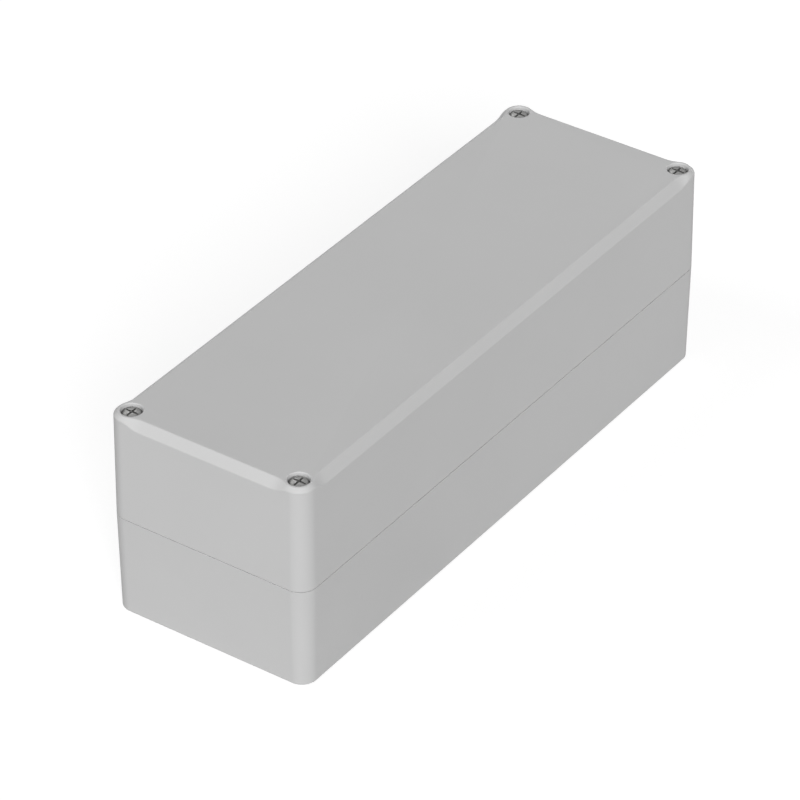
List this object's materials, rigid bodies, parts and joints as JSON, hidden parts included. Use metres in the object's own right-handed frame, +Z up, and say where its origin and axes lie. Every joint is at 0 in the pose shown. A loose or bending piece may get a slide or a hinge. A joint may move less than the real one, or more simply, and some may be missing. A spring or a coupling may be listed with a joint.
{
  "type": "plastic project box",
  "caption": "Long light-grey moulded enclosure with a deep screwed lid, corner screw towers, a gasket seal, inner board bosses and hidden wall-mounting holes.",
  "frame": {"origin": "middle of the box's underside, the face that it rests on", "axes": "+X along the box's length, +Z up from the base to the lid, +Y across the width; the long side faces are at -Y and +Y"},
  "size_m": [0.25, 0.0834, 0.0825],
  "materials": {
    "housing": "fine matt moulded texture",
    "gasket": "smooth cellular rubber",
    "screw_steel": "cold-formed bright stainless steel",
    "washer": "moulded rubber",
    "brass": "turned brass"
  },
  "bodies": {
    "base": {"base": "housing", "insert_left_front": "brass", "insert_right_front": "brass", "insert_right_back": "brass", "insert_left_back": "brass"},
    "lid": {"lid": "housing", "gasket": "gasket"},
    "washer_left_front": {"seal_washer_left_front": "washer"},
    "screw_left_front": {"lid_screw_left_front": "screw_steel"},
    "washer_right_front": {"seal_washer_right_front": "washer"},
    "screw_right_front": {"lid_screw_right_front": "screw_steel"},
    "washer_right_back": {"seal_washer_right_back": "washer"},
    "screw_right_back": {"lid_screw_right_back": "screw_steel"},
    "washer_left_back": {"seal_washer_left_back": "washer"},
    "screw_left_back": {"lid_screw_left_back": "screw_steel"}
  },
  "joints": [
    {"name": "lid_lift", "type": "slide", "parent": "base", "child": "lid", "axis": [0, 0, 1], "range_m": [0, 0.07]},
    {"name": "screw_rise_left_front", "type": "slide", "parent": "lid", "child": "washer_left_front", "axis": [0, 0, 1], "range_m": [0, 0.00665]},
    {"name": "screw_turn_left_front", "type": "hinge", "parent": "washer_left_front", "child": "screw_left_front", "pos_m": [-0.11835, -0.035, 0.04], "axis": [0, 0, 1], "range_deg": [0, 3420]},
    {"name": "screw_rise_right_front", "type": "slide", "parent": "lid", "child": "washer_right_front", "axis": [0, 0, 1], "range_m": [0, 0.00665]},
    {"name": "screw_turn_right_front", "type": "hinge", "parent": "washer_right_front", "child": "screw_right_front", "pos_m": [0.11835, -0.035, 0.04], "axis": [0, 0, 1], "range_deg": [0, 3420]},
    {"name": "screw_rise_right_back", "type": "slide", "parent": "lid", "child": "washer_right_back", "axis": [0, 0, 1], "range_m": [0, 0.00665]},
    {"name": "screw_turn_right_back", "type": "hinge", "parent": "washer_right_back", "child": "screw_right_back", "pos_m": [0.11835, 0.035, 0.04], "axis": [0, 0, 1], "range_deg": [0, 3420]},
    {"name": "screw_rise_left_back", "type": "slide", "parent": "lid", "child": "washer_left_back", "axis": [0, 0, 1], "range_m": [0, 0.00665]},
    {"name": "screw_turn_left_back", "type": "hinge", "parent": "washer_left_back", "child": "screw_left_back", "pos_m": [-0.11835, 0.035, 0.04], "axis": [0, 0, 1], "range_deg": [0, 3420]}
  ],
  "couplings": [
    {"joint": "screw_turn_left_front", "follows": "screw_rise_left_front", "rad_per_m": 8976},
    {"joint": "screw_turn_right_front", "follows": "screw_rise_right_front", "rad_per_m": 8976},
    {"joint": "screw_turn_right_back", "follows": "screw_rise_right_back", "rad_per_m": 8976},
    {"joint": "screw_turn_left_back", "follows": "screw_rise_left_back", "rad_per_m": 8976}
  ]
}
